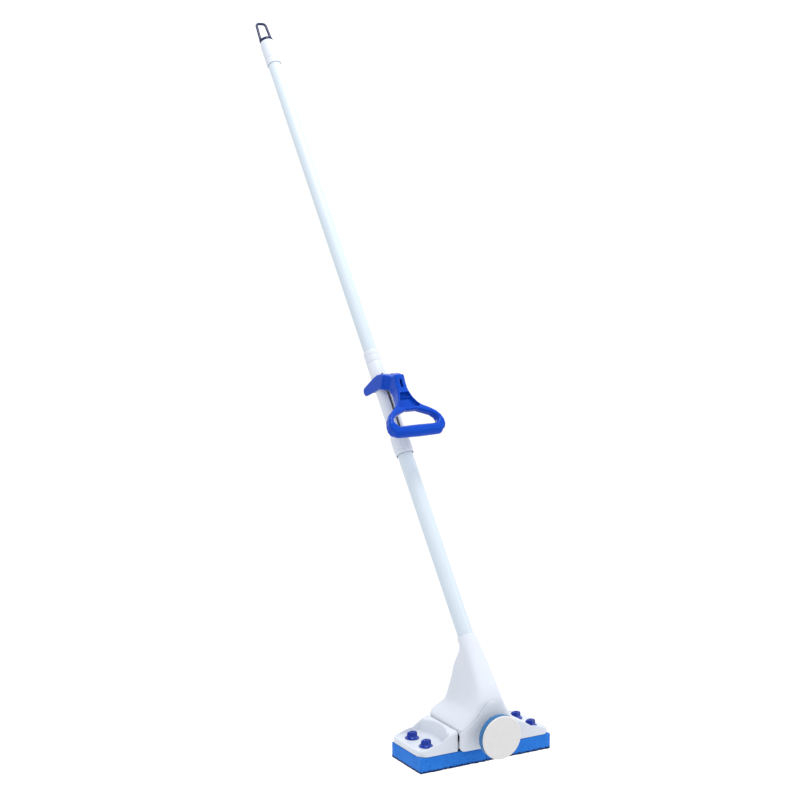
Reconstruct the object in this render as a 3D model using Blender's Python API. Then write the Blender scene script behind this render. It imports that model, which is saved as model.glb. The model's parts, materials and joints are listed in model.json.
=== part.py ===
"""Folding sponge mop: a two-piece pole, a squeeze lever with a D-shaped grip, and a white head
whose two wings fold down under it to wring the sponge. A round scrubbing pad stands on its front.

Metres, +Z up. The origin is at floor level in the middle of the mop's bounding box; +X is across
the head and the pole leans back towards +Y. Lengths below are written in millimetres, measured
from the middle of the sponge's underside, and scaled by MM; main() then shifts everything.
"""

import math

import bmesh
import bpy
from mathutils import Matrix, Vector

MM = 0.001
GAP = 0.3  # clearance between touching pieces

# Head
SPONGE = (233.5, 88.0, 25.5)
SPLIT = 0.3  # between the two sponge halves
PLATE_THICK = 1.5
DECK_THICK = 2.5
TRAY_FLOOR = 34.0  # height of the scooped floor that the knobs stand on
POCKET_TOP = 31.5  # of the hollow under that floor
WING_START = 51.8  # from here outwards a wing shows; inside it runs under the housing
WING_END = 116.5
WING_HALF_DEPTH = 44.5
WING_TOP_IN, WING_TOP_OUT = 60.0, 36.0
HOUSING_HALF = 51.0
HOUSING_WALL = 2.6
HINGE_X, HINGE_Z = 22.0, 40.0
HINGE_PIN_R = 2.5
FOLD = math.radians(90)
KNOB_X, KNOB_Y = 94.0, 21.0
STUD_R = 2.5

# Pole: its axis starts at floor level POLE_FOOT from the middle and leans back by LEAN
LEAN = math.radians(37)
POLE_FOOT = -119.0
TUBE_LOW_R, TUBE_UP_R = 12.5, 11.2
TUBE_WALL = 1.0
S_SOCKET, S_COLLAR_TOP = 190.0, 228.0
S_SLEEVE, S_SLEEVE_TOP = 572.0, 712.0
S_RING_TOP = 733.0
S_CAP, S_CAP_TOP = 1316.0, 1366.0
S_LOOP_TOP = 1409.0

# Squeeze lever and pull rod
S_PIVOT = 672.0
CRANK_R = 26.0
CRANK_START = math.radians(-38)
LEVER_TURN = math.radians(60)
ROD_TRAVEL = CRANK_R * (math.sin(CRANK_START + LEVER_TURN) - math.sin(CRANK_START))
LIFT = ROD_TRAVEL * math.cos(LEAN)
CRANK_N = CRANK_R * math.cos(CRANK_START)
CRANK_S = S_PIVOT + CRANK_R * math.sin(CRANK_START)
LEVER_PIN_R = 1.5
PIVOT_PIN_R = 3.0
CHEEK_IN, CHEEK_OUT = 14.3, 17.0
BORE_END = 16.1  # the cheeks' bores stop short of their outsides
GRIP_N, GRIP_H, GRIP_R = 60.0, -116.4, 9.9
LUG_FRONT = 33.0
LUG_BELOW, LUG_ABOVE = 5.5, 3.4  # its edges from the crank pin

# Crank pins of the wings: the lift turns them by FOLD about the hinge
CRANK_A0 = math.radians(-29.7)
CRANK_PIN_ARM = LIFT / (math.sin(CRANK_A0 + FOLD) - math.sin(CRANK_A0))
CRANK_PIN_R = 2.0
YOKE_Y, YOKE_THICK = -32.0, 6.0

# Scrubber on the front
SCRUB_Z = 51.4
SCRUB_R = 33.9
SCRUB_FACE_Y = -88.3

LOOP_BAR_R = 2.4
REAR_Y = POLE_FOOT + (S_LOOP_TOP - LOOP_BAR_R) * math.sin(LEAN) + LOOP_BAR_R
MIDDLE_Y = (SCRUB_FACE_Y + REAR_Y) / 2

SIDES = (("left", -1), ("right", 1))

COLOURS = {
    "white_plastic": ((0.80, 0.83, 0.90), 0.35, 0.0),
    "coated_tube": ((0.78, 0.86, 0.95), 0.25, 0.1),
    "blue_plastic": ((0.006, 0.055, 0.55), 0.30, 0.0),
    "navy_plastic": ((0.006, 0.02, 0.22), 0.35, 0.0),
    "sponge": ((0.025, 0.17, 0.62), 0.95, 0.0),
    "foam": ((0.04, 0.22, 0.52), 0.95, 0.0),
    "white_pad": ((0.80, 0.79, 0.79), 0.95, 0.0),
    "steel": ((0.55, 0.56, 0.58), 0.30, 1.0),
    "dark_plate": ((0.02, 0.03, 0.06), 0.50, 0.0),
    "nylon": ((0.70, 0.70, 0.66), 0.45, 0.0),
}


def clear_scene():
    for thing in list(bpy.data.objects):
        bpy.data.objects.remove(thing)


def material(slot):
    found = bpy.data.materials.get(slot)
    if found:
        return found
    colour, rough, metal = COLOURS[slot]
    made = bpy.data.materials.new(slot)
    made.use_nodes = True
    shader = made.node_tree.nodes["Principled BSDF"]
    shader.inputs["Base Color"].default_value = (*colour, 1)
    shader.inputs["Roughness"].default_value = rough
    shader.inputs["Metallic"].default_value = metal
    return made


def empty(name, parent=None, at=(0, 0, 0), turn=0.0):
    made = bpy.data.objects.new(name, None)
    made.location = Vector(at) * MM
    made.rotation_euler = (turn, 0, 0)
    made.parent = parent
    bpy.context.scene.collection.objects.link(made)
    return made


# ---------------------------------------------------------------- mesh helpers


def from_faces(points, faces):
    """A bmesh of these points, in millimetres, with its normals facing out."""
    mesh = bmesh.new()
    corners = [mesh.verts.new(Vector(p) * MM) for p in points]
    for face in faces:
        mesh.faces.new([corners[i] for i in face])
    bmesh.ops.recalc_face_normals(mesh, faces=mesh.faces)
    return mesh


def loft(rings, ring_closed=False):
    """A skin over rings of equal length; ring_closed joins the last ring to the first."""
    count = len(rings[0])
    points = [p for ring in rings for p in ring]
    pairs = len(rings) if ring_closed else len(rings) - 1
    faces = []
    for i in range(pairs):
        a, b = i * count, (i + 1) % len(rings) * count
        for j in range(count):
            k = (j + 1) % count
            faces.append((a + j, a + k, b + k, b + j))
    if not ring_closed:
        faces.append(tuple(range(count))[::-1])
        faces.append(tuple(range(len(points) - count, len(points))))
    return from_faces(points, faces)


def turned(profile, segments=32):
    """A closed (radius, height) outline turned about Z; points on the axis are allowed at its ends."""
    solid = [p for p in profile if p[0] > 0]
    rings = [
        [
            (r * math.cos(2 * math.pi * j / segments), r * math.sin(2 * math.pi * j / segments), h)
            for j in range(segments)
        ]
        for r, h in solid
    ]
    return loft(rings, ring_closed=len(solid) == len(profile))


def rod(radius, low, high, segments=20):
    return turned([(0, low), (radius, low), (radius, high), (0, high)], segments)


def pipe(inner, outer, low, high, segments=32):
    return turned([(outer, low), (outer, high), (inner, high), (inner, low)], segments)


def prism(outline, low, high):
    """An (x, y) outline stretched from low to high along Z."""
    return loft([[(x, y, z) for x, y in outline] for z in (low, high)])


def arc(centre, radius, start, end, steps):
    """Points along an arc, its angles in degrees."""
    angles = (math.radians(start + (end - start) * i / steps) for i in range(steps + 1))
    return [(centre[0] + radius * math.cos(a), centre[1] + radius * math.sin(a)) for a in angles]


def rounded_box(x0, y0, x1, y1, radii, steps=5):
    """A rectangle with its own radius at each corner: x1y1, x0y1, x0y0, x1y0."""
    a, b, c, d = radii
    return (
        arc((x1 - a, y1 - a), a, 0, 90, steps)
        + arc((x0 + b, y1 - b), b, 90, 180, steps)
        + arc((x0 + c, y0 + c), c, 180, 270, steps)
        + arc((x1 - d, y0 + d), d, 270, 360, steps)
    )


def placed(mesh, matrix):
    bmesh.ops.transform(mesh, matrix=matrix, verts=mesh.verts)
    if matrix.determinant() < 0:
        bmesh.ops.reverse_faces(mesh, faces=mesh.faces)
    return mesh


def moved(mesh, x=0.0, y=0.0, z=0.0):
    return placed(mesh, Matrix.Translation(Vector((x, y, z)) * MM))


def along_y(mesh):
    """Turns a shape made along Z so that it runs along +Y; its own Y becomes +Z."""
    return placed(mesh, Matrix(((1, 0, 0, 0), (0, 0, 1, 0), (0, 1, 0, 0), (0, 0, 0, 1))))


def along_x(mesh):
    """Turns a shape made along Z so that it runs along +X, with its own (x, y) as (y, z)."""
    return placed(mesh, Matrix(((0, 0, 1, 0), (1, 0, 0, 0), (0, 1, 0, 0), (0, 0, 0, 1))))


def mirrored(mesh, side):
    return placed(mesh, Matrix.Scale(-1, 4, (1, 0, 0))) if side < 0 else mesh


def node(name, mesh, slot, parent=None, smooth=35):
    data = bpy.data.meshes.new(name)
    mesh.to_mesh(data)
    mesh.free()
    data.materials.append(material(slot))
    data.shade_smooth()
    data.set_sharp_from_angle(angle=math.radians(smooth))
    made = bpy.data.objects.new(name, data)
    made.parent = parent
    bpy.context.scene.collection.objects.link(made)
    return made


def combined(mesh, steps):
    """mesh after a row of exact Booleans, each (operation, other mesh)."""
    target = node("combining", mesh, "white_plastic")
    tools = []
    for i, (operation, other) in enumerate(steps):
        tool = node(f"tool_{i}", other, "white_plastic")
        modifier = target.modifiers.new(operation.lower(), "BOOLEAN")
        modifier.operation = operation
        modifier.solver = "EXACT"
        modifier.object = tool
        tools.append(tool)
    bpy.context.view_layer.update()
    graph = bpy.context.evaluated_depsgraph_get()
    result = bmesh.new()
    result.from_object(target, graph)
    for thing in tools + [target]:
        bpy.data.objects.remove(thing)
    bmesh.ops.remove_doubles(result, verts=result.verts, dist=1e-6)
    return result


def cut(mesh, *tools):
    return combined(mesh, [("DIFFERENCE", tool) for tool in tools])


def joined(mesh, *others):
    return combined(mesh, [("UNION", other) for other in others])


def common(mesh, other):
    return combined(mesh, [("INTERSECT", other)])


# ---------------------------------------------------------------- pole
# Pole pieces are made with Z along the pole and -Y towards the front, under the "pole" empty.


def pole_point(front, s):
    """World (y, z) of a point at s along the pole and front millimetres before its axis."""
    return (
        POLE_FOOT + s * math.sin(LEAN) - front * math.cos(LEAN),
        s * math.cos(LEAN) + front * math.sin(LEAN),
    )


def pole_frame(s=0.0, pitch=0.0):
    """From a shape's own Z to the pole's axis at s, pitched further back by pitch."""
    there = Matrix.Translation(Vector((0, *pole_point(0, s))) * MM)
    return there @ Matrix.Rotation(-LEAN - pitch, 4, "X")


def make_pole(pole):
    lower = pipe(TUBE_LOW_R - TUBE_WALL, TUBE_LOW_R, S_SOCKET, S_SLEEVE - 0.5)
    node("lower_tube", lower, "coated_tube", pole)
    upper = pipe(TUBE_UP_R - TUBE_WALL, TUBE_UP_R, S_SLEEVE_TOP + 4, S_CAP + 7)
    node("upper_tube", upper, "coated_tube", pole)
    collar = turned(
        [
            (13.4, 544), (14.2, 543.2), (14.9, 546), (15.4, 553), (15.6, 561), (15.2, 571),
            (14.7, 576.6), (13.6, 577), (13.6, 545),
        ]
    )
    node("lower_collar", collar, "white_plastic", pole)
    inner, seat = TUBE_UP_R + GAP, S_SLEEVE_TOP + 3.6
    ring = turned(
        [
            (inner, S_RING_TOP), (12.4, S_RING_TOP), (12.9, S_RING_TOP - 2),
            (12.9, S_SLEEVE_TOP + GAP), (8.0, S_SLEEVE_TOP + GAP), (8.0, seat), (inner, seat),
        ]
    )
    node("joint_ring", ring, "white_plastic", pole)
    for name, low, high in (("rod_guide_lower", 192, 202), ("rod_guide_upper", 556, 566)):
        guide = pipe(3.5, TUBE_LOW_R - TUBE_WALL - GAP, low, high, 24)
        node(name, guide, "nylon", pole)
    make_sleeve(pole)
    make_cap(pole)


def make_sleeve(pole):
    """The slotted sleeve that joins the two tubes; the rod's lug runs in its front slot."""
    sleeve = pipe(10.2, 13.2, S_SLEEVE, S_SLEEVE_TOP, 40)
    slot_top = CRANK_S + ROD_TRAVEL + LUG_ABOVE + 1.2
    slot = prism(rounded_box(-2.6, 578, 2.6, slot_top, (2.5,) * 4, 4), 0, 20)
    slot = placed(slot, Matrix.Rotation(math.radians(90), 4, "X"))
    bore = moved(along_x(rod(PIVOT_PIN_R + GAP, -20, 20)), z=S_PIVOT)
    node("slide_sleeve", cut(sleeve, slot, bore), "white_plastic", pole)
    for name, side in SIDES:
        pin = moved(mirrored(along_x(rod(PIVOT_PIN_R, 10.4, BORE_END - GAP)), side), z=S_PIVOT)
        node(f"{name}_pivot_pin", pin, "steel", pole)


def make_cap(pole):
    inner = TUBE_UP_R + GAP
    cap = turned(
        [
            (0, S_CAP + 8), (inner, S_CAP + 8), (inner, S_CAP), (12.4, S_CAP), (12.9, S_CAP + 1.5),
            (12.9, S_CAP_TOP - 6), (12.3, S_CAP_TOP - 2), (11.4, S_CAP_TOP), (0, S_CAP_TOP),
        ]
    )
    node("cap_sleeve", cap, "white_plastic", pole)
    # The loop is a bent bar: wide where it meets its base, narrower and round at the top.
    low, high = S_CAP_TOP + GAP, S_CAP_TOP + 5.2
    base = turned([(0, low), (11.9, low), (12.1, low + 1.7), (11.4, high), (0, high)])
    bend = S_LOOP_TOP - LOOP_BAR_R - 6
    foot = S_CAP_TOP + 3
    path = [(10.6, foot), *arc((3.4, bend), 6, 0, 90, 5), *arc((-3.4, bend), 6, 90, 180, 5), (-10.6, foot)]
    bar = sweep([(x, 0, z) for x, z in path], LOOP_BAR_R, 12)
    node("hang_loop", joined(base, bar), "navy_plastic", pole)


def sweep(path, radius, segments):
    """A round bar along a path in the XZ plane, with its joints mitred."""
    rings = []
    for i, point in enumerate(path):
        before = Vector(path[max(i - 1, 0)])
        after = Vector(path[min(i + 1, len(path) - 1)])
        along = (after - before).normalized()
        across = Vector((along.z, 0, -along.x))
        ring = []
        for j in range(segments):
            a = 2 * math.pi * j / segments
            ring.append(Vector(point) + radius * (math.cos(a) * across + math.sin(a) * Vector((0, 1, 0))))
        rings.append(ring)
    return loft(rings)


# ---------------------------------------------------------------- squeeze lever
# Lever outlines are (front, height) about the pivot, then (across, height).


def lever_side():
    """The lever seen from the side: rear horn, bridge over the pole, neck and round grip bar."""
    under = [(-18, -7.3), (0, -11.5), (10, -14.2), (21.6, -19.8), (28, -25), (31.5, -31)]
    back = [(33, -40), (36, -50), (40, -58), (47, -67), (52, -78), (51.5, -94)]
    front = [(69.5, -104), (68, -92), (64.5, -78), (60.5, -66), (59.5, -54), (59.5, -42), (59, -30)]
    crest = [(61.5, -19), (61.5, -15.5), (59, -14), (55, -13.2), (48.5, -11)]
    bridge = [(41, -3), (32, 3), (21, 7.5), (8, 9.5), (-6, 10.3)]
    horn = arc((-27.8, 3.6), 7.8, 75, 255, 7)
    grip = arc((GRIP_N, GRIP_H), GRIP_R, 180, 360, 10)
    return horn + under + back + grip + front + crest + bridge


def lever_front():
    """Half of the lever seen from the front, from the neck's top down to the grip bar."""
    neck = [(8.3, -12), (8.5, -30), (10.2, -44), (14, -56), (19, -65), (24, -71)]
    shoulder = [(33, -77.5), (42.3, -85.5), (47.6, -94.5), (50, -104)]
    return neck + shoulder + [(49.6, -112), (46.5, -118), (40, -123), (32, -125.2), (15, -126.4)]


def grip_opening():
    """Half of the hand opening above the grip bar."""
    return [(10, -80), (20, -84), (32, -89), (38.5, -95), (40, -100), (38, -104), (34, -106.8)]


def lever_plan():
    """Half widths of horn, cheeks and crest along the front direction."""
    return [(-60, CHEEK_OUT), (31, CHEEK_OUT), (46, 11.5), (52, 9.5), (68, 8)]


def mirrored_outline(half):
    return half + [(-x, y) for x, y in reversed(half)]


def to_lever(mesh):
    """From (front, height) drawn in XY and stretched along Z to the pole's axes: front is -Y."""
    return placed(mesh, Matrix(((0, 0, 1, 0), (-1, 0, 0, 0), (0, 1, 0, 0), (0, 0, 0, 1))))


def pole_sweep():
    """The space the sleeve needs between the cheeks while the lever turns."""
    clear, reach = CHEEK_IN, 90.0
    turn = math.degrees(LEVER_TURN)
    up = [(-clear, reach), *arc((0, 0), reach, 90, 90 - turn, 4)]
    up.append((reach * math.sin(LEVER_TURN) + clear * math.cos(LEVER_TURN),
               reach * math.cos(LEVER_TURN) - clear * math.sin(LEVER_TURN)))
    inner = clear * math.tan(LEVER_TURN / 2)
    up.append((clear, -inner))
    down = [(-x, -y) for x, y in up]
    return to_lever(prism(up + down, -CHEEK_IN, CHEEK_IN))


def make_lever(pivot):
    side = to_lever(prism(lever_side(), -60, 60))
    neck = along_y(prism(mirrored_outline(lever_front()), -80, 20))
    plan = [(w, -n) for n, w in lever_plan()] + [(-w, -n) for n, w in reversed(lever_plan())]
    body = common(side, joined(neck, prism(plan, -34, 30)))
    opening = along_y(prism(mirrored_outline(grip_opening()), -80, -30))
    channel_half = [(6.8, -44), (10.2, -55), (15, -64), (20, -70), (17, -75)]
    channel = along_y(prism(mirrored_outline(channel_half), -80, -50))
    lug_reach = math.hypot(LUG_FRONT, CRANK_S - S_PIVOT - LUG_BELOW) + 0.9
    lug_slot = to_lever(prism(arc((0, 0), lug_reach, -90, 60, 14) + [(0, 0)], -2.7, 2.7))
    horn_room = to_lever(prism([(-60, -30), (-5, -30), (-5, 3.5), (-60, 3.5)], -CHEEK_IN, CHEEK_IN))
    pin_place = {"y": -CRANK_N, "z": CRANK_S - S_PIVOT}
    pin_bore = moved(along_x(rod(LEVER_PIN_R + GAP, -BORE_END, BORE_END, 16)), **pin_place)
    pivot_bore = along_x(rod(PIVOT_PIN_R + GAP, -BORE_END, BORE_END))
    body = cut(body, opening, pole_sweep(), horn_room, lug_slot, channel, pin_bore, pivot_bore)
    node("squeeze_lever", body, "blue_plastic", pivot)
    pin = moved(along_x(rod(LEVER_PIN_R, GAP - BORE_END, BORE_END - GAP, 16)), **pin_place)
    node("lever_crank_pin", pin, "steel", pivot)


# ---------------------------------------------------------------- pull rod and crosshead


def make_pull_rod(pole):
    """The rod, and the flat lug in its split top whose slot takes the lever's crank pin."""
    top = CRANK_S + 2
    split = moved(box(3.6, 12, 12), z=top - 3.5)
    node("pull_rod", cut(rod(3.0, 146, top, 16), split), "steel", pole)
    low, high = CRANK_S - LUG_BELOW, CRANK_S + LUG_ABOVE
    lug = prism(rounded_box(-4.5, low, LUG_FRONT, high, (4, 3, 1, 4), 4), -1.5, 1.5)
    play = LEVER_PIN_R + 0.6
    ends = (CRANK_N - LEVER_PIN_R - 0.5, CRANK_R + LEVER_PIN_R + 0.5)
    slot = rounded_box(ends[0], CRANK_S - play, ends[1], CRANK_S + play, (2.0,) * 4, 4)
    node("rod_lug", to_lever(cut(lug, prism(slot, -5, 5))), "steel", pole)


def box(x, y, z):
    outline = [(x / 2, y / 2), (-x / 2, y / 2), (-x / 2, -y / 2), (x / 2, -y / 2)]
    return prism(outline, -z / 2, z / 2)


def crank_rest(side=1):
    return (
        side * (HINGE_X - CRANK_PIN_ARM * math.cos(CRANK_A0)),
        HINGE_Z + CRANK_PIN_ARM * math.sin(CRANK_A0),
    )


def make_crosshead():
    """Hangs under the pull rod; its two slots lift the wings' crank pins, which slide in them."""
    slot_in = HINGE_X - CRANK_PIN_ARM - CRANK_PIN_R - 0.4
    slot_out = HINGE_X - CRANK_PIN_ARM * math.cos(CRANK_A0 + FOLD) + CRANK_PIN_R + 0.5
    slot_z, slot_half = crank_rest()[1] + 0.8, CRANK_PIN_R + 1.3
    low, high = slot_z - slot_half - 2.0, slot_z + slot_half + 3.5
    half = slot_out + 2.1
    outline = mirrored_outline([(half, low), (half, high), (6, high + 8), (6, 118)])
    yoke = along_y(prism(outline, YOKE_Y - YOKE_THICK / 2, YOKE_Y + YOKE_THICK / 2))
    boss = placed(rod(7.0, 137, 160, 24), pole_frame())
    bore = placed(rod(3.3, 145.6, 170, 16), pole_frame())
    slots = []
    for _, side in SIDES:
        slot = prism(
            rounded_box(slot_in, slot_z - slot_half, slot_out, slot_z + slot_half, (2.5,) * 4, 3), -50, 0
        )
        slots.append(mirrored(along_y(slot), side))
    body = combined(yoke, [("UNION", boss), ("DIFFERENCE", bore)] + [("DIFFERENCE", s) for s in slots])
    node("crosshead", body, "nylon")


# ---------------------------------------------------------------- head housing


def superellipse(u, power):
    c, s = math.cos(u), math.sin(u)
    return (
        math.copysign(abs(c) ** (2 / power), c),
        math.copysign(abs(s) ** (2 / power), s),
    )


def housing_sections():
    """(front point, back point, half width at front, at back, squareness at front, at back)."""
    collar_low, collar_top = 213.0, S_COLLAR_TOP
    half = HOUSING_HALF
    return [
        ((-50.0, 26.3), (47.5, 26.3), half, half, 9.0, 9.0),
        ((-52.5, 44.0), (47.5, 44.0), half, half, 9.0, 9.0),
        ((-54.0, 57.5), (47.0, 60.0), half, half, 8.5, 9.0),
        ((-55.0, 62.5), (46.5, 64.5), 48.5, 50.0, 7.5, 9.0),
        ((-56.0, 69.0), (45.5, 69.5), 43.5, 45.0, 7.0, 9.0),
        ((-57.0, 77.0), (44.0, 74.0), 38.0, 36.5, 6.5, 8.0),
        ((-57.5, 88.0), (41.5, 80.0), 31.5, 28.0, 6.0, 7.0),
        ((-56.5, 101.0), (38.5, 89.0), 26.0, 24.8, 5.6, 6.0),
        ((-49.5, 116.0), (35.5, 101.5), 22.0, 23.2, 5.2, 5.5),
        ((-36.5, 135.0), (32.5, 118.0), 19.0, 21.2, 4.8, 4.8),
        ((-20.0, 157.0), (29.0, 140.0), 16.8, 18.6, 4.0, 4.0),
        (pole_point(15.2, collar_low), pole_point(-15.2, collar_low), 15.2, 15.2, 2.4, 2.4),
        (pole_point(14.4, collar_top), pole_point(-14.4, collar_top), 14.4, 14.4, 2.0, 2.0),
    ]


def housing_ring(section, offset, count=44):
    """One ring of the housing, moved outwards by offset."""
    front, back, wide_front, wide_back, square_front, square_back = section
    front, back = Vector(front), Vector(back)
    along = (front - back).normalized()
    middle, reach = (front + back) / 2, (front - back).length / 2 + offset
    ring = []
    for j in range(count):
        angle = 2 * math.pi * (j + 0.5) / count
        u, v = superellipse(angle, square_front if math.cos(angle) > 0 else square_back)
        width = wide_back + (wide_front - wide_back) * (u + 1) / 2 + offset
        place = middle + along * reach * u
        ring.append((width * v, place.x, place.y))
    return ring


def housing_loft(offset=0.0, first=0, last=None):
    return loft([housing_ring(s, offset) for s in housing_sections()[first:last]])


def lowered(section, z):
    (fy, _), (by, _), *rest = section
    return ((fy, z), (by, z), *rest)


def housing_inside():
    """The hollow of the housing, open at the bottom."""
    sections = housing_sections()
    sections = [lowered(sections[0], 10.0)] + sections[:10]
    return loft([housing_ring(s, -HOUSING_WALL) for s in sections])


def make_housing():
    """The hollow housing, its hinge pins and the screw that holds the lower tube."""
    tunnel = along_x(prism(rounded_box(-47.2, 10, 44.7, 54.2, (9, 9, 0.1, 0.1)), -70, 70))
    steps = [("DIFFERENCE", housing_inside()), ("DIFFERENCE", tunnel)]
    for _, side in SIDES:
        for low, high in ((-51.5, -43.5), (43.5, 46.5)):
            boss = moved(along_y(rod(6.0, low, high)), side * HINGE_X, 0, HINGE_Z)
            steps.append(("UNION", boss))
    for _, side in SIDES:
        bore = moved(along_y(rod(HINGE_PIN_R + GAP, -47.0, 45.6)), side * HINGE_X, 0, HINGE_Z)
        steps.append(("DIFFERENCE", bore))
    socket = placed(rod(TUBE_LOW_R + GAP, S_SOCKET - 0.5, 260, 32), pole_frame())
    rod_way = placed(rod(11.5, 140, S_SOCKET + 1, 24), pole_frame())
    screw_frame = pole_frame(216, math.pi / 2)
    screw_way = placed(rod(2.3, 10, 30, 16), screw_frame)
    steps += [("DIFFERENCE", tool) for tool in (socket, rod_way, screw_way)]
    node("head_housing", combined(housing_loft(), steps), "white_plastic")
    screw = [(0, 12.9), (2.0, 12.9), (2.0, 16.2), (3.6, 16.2), (3.6, 17.0), (2.6, 17.8), (0, 17.8)]
    node("tube_screw", placed(turned(screw, 16), screw_frame), "steel")
    for name, side in SIDES:
        pin = moved(along_y(rod(HINGE_PIN_R, -46.6, 45.2)), side * HINGE_X, 0, HINGE_Z)
        node(f"{name}_hinge_pin", pin, "steel")


def apron_outline():
    half = arc((42.5, 33.5), 8, -90, 0, 5)
    half += [(50.5, 56), (43, 61.5), (34.5, 68), (26.5, 76), (20, 85.5), (12.5, 95.5), (5, 101.5)]
    return mirrored_outline(half)


def make_apron():
    """The arched front panel that carries the scrubber's arm."""
    skin = cut(housing_loft(2.0, 0, 10), housing_loft(2 * GAP, 0, 10))
    skirt = along_y(prism(apron_outline(), -90, -47))
    panel = common(skin, skirt)
    node("front_apron", panel, "white_plastic")


def make_scrubber():
    def disc(profile, segments=40):
        return moved(along_y(turned(profile, segments)), z=SCRUB_Z)

    face, r = SCRUB_FACE_Y, SCRUB_R
    node("scrubber_arm", disc([(0, -57.6), (10, -57.6), (9, -62), (9, -71), (0, -71)], 28), "white_plastic")
    holder = [(0, -71.3), (r - 4, -71.3), (r - 3, -72.3), (r - 3, -74), (0, -74)]
    node("scrubber_holder", disc(holder), "white_plastic")
    foam = [(0, -74.3), (r - 0.6, -74.3), (r - 0.2, -75.5), (r - 0.2, -84), (0, -84)]
    node("scrubber_foam", disc(foam), "foam")
    pad = [(0, -84.3), (r, -84.3), (r, face + 1.2), (r - 1.2, face), (0, face)]
    node("scrubber_face", disc(pad), "white_pad")


# ---------------------------------------------------------------- wings


def wing_shell():
    """The visible part of the right wing: a wedge that rises to the housing, scooped for the knobs."""
    low, floor = SPONGE[2] + GAP, tray_bottom()
    outline = [(WING_START, low), (WING_END, low), (WING_END, WING_TOP_OUT - 2.5)]
    outline += [(WING_END - 1, WING_TOP_OUT - 0.7), (WING_END - 4, WING_TOP_OUT), (WING_START, WING_TOP_IN)]
    wedge = along_y(prism(outline, -60, 60))
    deep = WING_HALF_DEPTH
    plan = rounded_box(WING_START - 5, -deep, WING_END, deep, (8, 0.1, 0.1, 15), 8)
    wedge = common(wedge, prism(plan, low - 5, 80))
    scoop = [*arc((105.5, -31), 9, 0, -90, 4), (69, -36)]
    scoop += arc((146, 0), 85, 205, 155, 10)
    scoop += [(69, 36), *arc((109, 35), 5, 90, 0, 3)]
    pocket = rounded_box(59, -41, WING_END - 3, 41, (5, 1, 1, 12), 4)
    seat = plate_outline(WING_START - 5, GAP)
    tools = ((scoop, TRAY_FLOOR, 90), (pocket, low - 5, POCKET_TOP), (seat, low - 5, floor))
    return cut(wedge, *(prism(*tool) for tool in tools))


def plate_outline(inner, offset=0.0):
    """The backing plate's outline, or that of the seat for it inside the tray's rim."""
    half, end = 41.5 + offset, WING_END - 1.5 + offset
    return rounded_box(inner, -half, end, half, (7, 1, 1, 12))


def tray_bottom():
    return SPONGE[2] + GAP + PLATE_THICK + GAP


def wing_root():
    """What runs under the housing: a floor and three ribs that turn on the hinge pin."""
    floor = tray_bottom()
    inner, deck_inner = 18.0, 21.0
    deck = prism(
        [(deck_inner, -39.5), (WING_START + 4, -39.5), (WING_START + 4, 39.5), (deck_inner, 39.5)],
        floor, floor + DECK_THICK,
    )
    parts = []
    crank_x, crank_z = crank_rest()
    for middle, cranked in ((-38.0, True), (0.0, True), (38.0, False)):
        top = arc((HINGE_X, HINGE_Z), 5.6, 60, 180 if not cranked else 150, 6)
        tail = [(inner - 1.6, floor)]
        if cranked:
            tail = arc((crank_x, crank_z), 3.4, 120, 270, 6) + [(inner, floor)]
        rib = [(WING_START + 4, floor), (WING_START + 4, floor + 12), (36, floor + 12), *top, *tail]
        parts.append(along_y(prism(rib, middle - 1.5, middle + 1.5)))
    return deck, parts


def make_wings():
    floor = tray_bottom()
    crank_x, crank_z = crank_rest()
    length, depth, height = SPONGE
    for name, side in SIDES:
        hinge = empty(f"{name}_wing_axis", at=(side * HINGE_X, 0, HINGE_Z))

        def put(piece, mesh, slot, side=side, hinge=hinge):
            node(piece, moved(mirrored(mesh, side), -side * HINGE_X, 0, -HINGE_Z), slot, hinge)

        deck, ribs = wing_root()
        steps = [("UNION", deck)] + [("UNION", rib) for rib in ribs]
        steps.append(("DIFFERENCE", moved(along_y(rod(2.9, -60, 60, 20)), HINGE_X, 0, HINGE_Z)))
        steps.append(("DIFFERENCE", moved(along_y(rod(2.3, -60, 10, 16)), crank_x, 0, crank_z)))
        for y in (-KNOB_Y, KNOB_Y):
            steps.append(("DIFFERENCE", moved(rod(STUD_R + 0.7, 20, 50, 20), KNOB_X, y, 0)))
        put(f"{name}_tray", combined(wing_shell(), steps), "white_plastic")
        crank = moved(along_y(rod(CRANK_PIN_R, -39.8, 1.8, 16)), crank_x, 0, crank_z)
        put(f"{name}_crank_pin", crank, "steel")
        low = height + GAP
        plate = prism(plate_outline(20), low, low + PLATE_THICK)
        put(f"{name}_backing_plate", plate, "dark_plate")
        block = rounded_box(SPLIT / 2, -depth / 2, length / 2, depth / 2, (2, 0.1, 0.1, 2), 3)
        put(f"{name}_sponge", prism(block, 0, height), "sponge")
        for end, y in (("front", -KNOB_Y), ("rear", KNOB_Y)):
            stud = rod(STUD_R, low + PLATE_THICK + GAP, TRAY_FLOOR + 9.5, 16)
            put(f"{name}_{end}_stud", moved(stud, KNOB_X, y, 0), "steel")
            make_knob(f"{name}_{end}_knob", side * KNOB_X, y, TRAY_FLOOR + GAP, hinge)


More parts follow.
